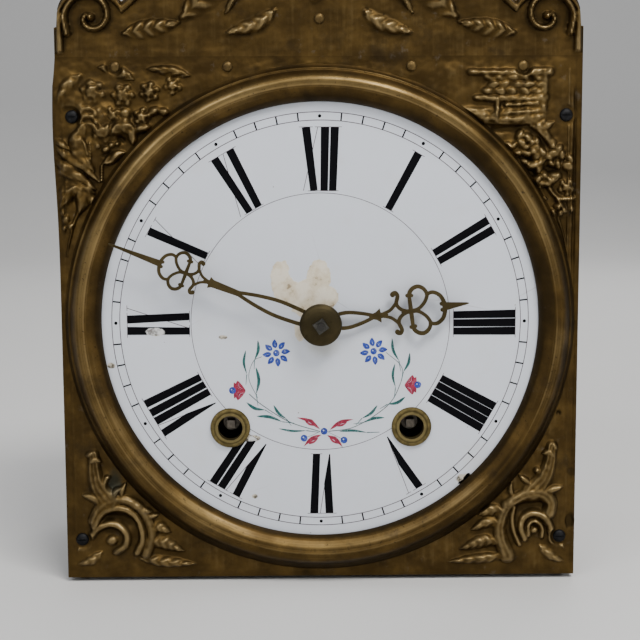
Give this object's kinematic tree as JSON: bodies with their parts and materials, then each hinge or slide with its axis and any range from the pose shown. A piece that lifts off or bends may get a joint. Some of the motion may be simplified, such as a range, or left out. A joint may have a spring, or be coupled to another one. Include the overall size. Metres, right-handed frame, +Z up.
{
  "type": "comtoise clock",
  "caption": "Iron-cage wall clock head with enamel roman dial, pierced hands, embossed brass surround and pediment, bell, hammer and weight-driven trains.",
  "frame": {"origin": "under the middle of the clock, on the surface its feet stand on", "axes": "+X to the right seen from the front, front at -Y, +Z up"},
  "size_m": [0.2746, 0.1632, 0.376],
  "materials": {
    "iron": "dark forged iron",
    "sheet_iron": "dull sheet iron",
    "repousse": "aged dark embossed brass",
    "enamel": "glossy enamel",
    "eyelet_brass": "worn brass",
    "wheel_brass": "satin brass",
    "steel": "dull steel",
    "hand_brass": "aged olive brass",
    "collet_brass": "dark olive brass",
    "bell_metal": "grey bell bronze"
  },
  "bodies": {
    "cage": {"base_plate": "iron", "top_plate": "iron", "corner_pillars": "iron", "pillar_nuts": "iron", "front_bar_left": "iron", "front_bar_centre": "iron", "front_bar_right": "iron", "rear_bar_left": "iron", "rear_bar_centre": "iron", "rear_bar_right": "iron", "bar_pins": "steel", "surround": "repousse", "pediment": "repousse", "pediment_stay": "iron", "pediment_rivets": "repousse", "case_screws": "iron", "dial": "enamel", "dial_straps": "iron", "dial_pins": "steel", "winding_eyelets": "eyelet_brass", "back_panel": "sheet_iron", "door_gudgeons": "iron", "bell_post": "iron", "bell": "bell_metal", "bell_nut": "iron", "centre_post": "steel", "rack_guide": "iron", "anchor_cock": "iron"},
    "left_door": {"left_door": "sheet_iron", "left_door_knob": "eyelet_brass"},
    "right_door": {"right_door": "sheet_iron", "right_door_knob": "eyelet_brass"},
    "minute": {"minute_hand": "hand_brass", "hand_collet": "collet_brass", "hand_nut": "steel", "cannon_wheel": "wheel_brass"},
    "hour": {"hour_hand": "hand_brass", "hour_wheel": "wheel_brass", "snail": "wheel_brass"},
    "minute_work": {"minute_wheel": "wheel_brass"},
    "going_great": {"going_great_wheel": "wheel_brass"},
    "going_click": {"going_click": "steel"},
    "going_drum": {"going_drum": "wheel_brass", "going_winding_arbor": "steel"},
    "going_second": {"second_wheel": "wheel_brass"},
    "going_third": {"third_wheel": "wheel_brass"},
    "escape": {"escape_wheel": "wheel_brass"},
    "anchor": {"anchor": "steel", "crutch": "steel"},
    "strike_great": {"strike_great_wheel": "wheel_brass"},
    "strike_click": {"strike_click": "steel"},
    "strike_drum": {"strike_drum": "wheel_brass", "strike_winding_arbor": "steel"},
    "pin": {"pin_wheel": "wheel_brass"},
    "gathering": {"gathering_wheel": "wheel_brass", "gathering_pallet": "steel"},
    "fly": {"fly": "wheel_brass"},
    "hammer": {"hammer_arbor": "steel", "hammer": "iron"},
    "rack": {"rack": "steel"}
  },
  "joints": [
    {"name": "left_door_hinge", "type": "hinge", "parent": "cage", "child": "left_door", "pos_m": [-0.1295, 0.07285, 0.133], "axis": [0, 0, -1], "range_deg": [0, 110]},
    {"name": "right_door_hinge", "type": "hinge", "parent": "cage", "child": "right_door", "pos_m": [0.1295, 0.07285, 0.133], "axis": [0, 0, 1], "range_deg": [0, 110]},
    {"name": "minute_spin", "type": "hinge", "parent": "cage", "child": "minute", "pos_m": [0, -0.05715, 0.133], "axis": [0, 1, 0], "continuous": true},
    {"name": "hour_spin", "type": "hinge", "parent": "cage", "child": "hour", "pos_m": [0, -0.05715, 0.133], "axis": [0, 1, 0], "continuous": true},
    {"name": "minute_wheel_spin", "type": "hinge", "parent": "cage", "child": "minute_work", "pos_m": [0.0402, -0.03715, 0.12519], "axis": [0, 1, 0], "continuous": true},
    {"name": "going_third_spin", "type": "hinge", "parent": "cage", "child": "going_third", "pos_m": [0.0242, 0.01285, 0.15519], "axis": [0, 1, 0], "continuous": true},
    {"name": "going_second_spin", "type": "hinge", "parent": "cage", "child": "going_second", "pos_m": [0.0402, 0.01285, 0.12519], "axis": [0, 1, 0], "continuous": true},
    {"name": "going_great_spin", "type": "hinge", "parent": "cage", "child": "going_great", "pos_m": [0.0455, 0.03825, 0.08], "axis": [0, 1, 0], "continuous": true},
    {"name": "escape_spin", "type": "hinge", "parent": "cage", "child": "escape", "pos_m": [0, 0.01285, 0.17674], "axis": [0, 1, 0], "continuous": true},
    {"name": "going_winding", "type": "hinge", "parent": "going_great", "child": "going_drum", "pos_m": [0.0455, -0.00515, 0.08], "axis": [0, 1, 0], "continuous": true},
    {"name": "going_click_pivot", "type": "hinge", "parent": "going_great", "child": "going_click", "pos_m": [0.0455, 0.03675, 0.106], "axis": [0, -1, 0], "range_deg": [0, 12], "stiffness_Nm_per_rad": 0.02},
    {"name": "anchor_swing", "type": "hinge", "parent": "cage", "child": "anchor", "pos_m": [0, 0.01285, 0.21074], "axis": [0, 1, 0], "range_deg": [-2.5, 2.5]},
    {"name": "gathering_spin", "type": "hinge", "parent": "cage", "child": "gathering", "pos_m": [-0.042, 0.01285, 0.16088], "axis": [0, 1, 0], "continuous": true},
    {"name": "pin_wheel_spin", "type": "hinge", "parent": "cage", "child": "pin", "pos_m": [-0.05, 0.01285, 0.12578], "axis": [0, 1, 0], "continuous": true},
    {"name": "strike_great_spin", "type": "hinge", "parent": "cage", "child": "strike_great", "pos_m": [-0.0455, 0.03825, 0.08], "axis": [0, 1, 0], "continuous": true},
    {"name": "fly_spin", "type": "hinge", "parent": "cage", "child": "fly", "pos_m": [-0.052, 0.01285, 0.18969], "axis": [0, 1, 0], "continuous": true},
    {"name": "strike_winding", "type": "hinge", "parent": "strike_great", "child": "strike_drum", "pos_m": [-0.0455, -0.00515, 0.08], "axis": [0, 1, 0], "continuous": true},
    {"name": "strike_click_pivot", "type": "hinge", "parent": "strike_great", "child": "strike_click", "pos_m": [-0.0455, 0.03675, 0.106], "axis": [0, -1, 0], "range_deg": [0, 12], "stiffness_Nm_per_rad": 0.02},
    {"name": "hammer_lift", "type": "hinge", "parent": "cage", "child": "hammer", "pos_m": [-0.104, 0.04685, 0.133], "axis": [0, 0, -1], "range_deg": [0, 8], "stiffness_Nm_per_rad": 0.3},
    {"name": "rack_lift", "type": "slide", "parent": "cage", "child": "rack", "axis": [0, 0, 1], "range_m": [0, 0.026]}
  ],
  "couplings": [
    {"joint": "hour_spin", "follows": "minute_spin", "ratio": 0.083333},
    {"joint": "minute_wheel_spin", "follows": "minute_spin", "ratio": -1},
    {"joint": "going_second_spin", "follows": "going_third_spin", "ratio": -0.13333},
    {"joint": "going_great_spin", "follows": "going_third_spin", "ratio": 0.011111},
    {"joint": "escape_spin", "follows": "going_third_spin", "ratio": -8},
    {"joint": "pin_wheel_spin", "follows": "gathering_spin", "ratio": -0.125},
    {"joint": "strike_great_spin", "follows": "gathering_spin", "ratio": 0.011905},
    {"joint": "fly_spin", "follows": "gathering_spin", "ratio": -8.5714}
  ]
}
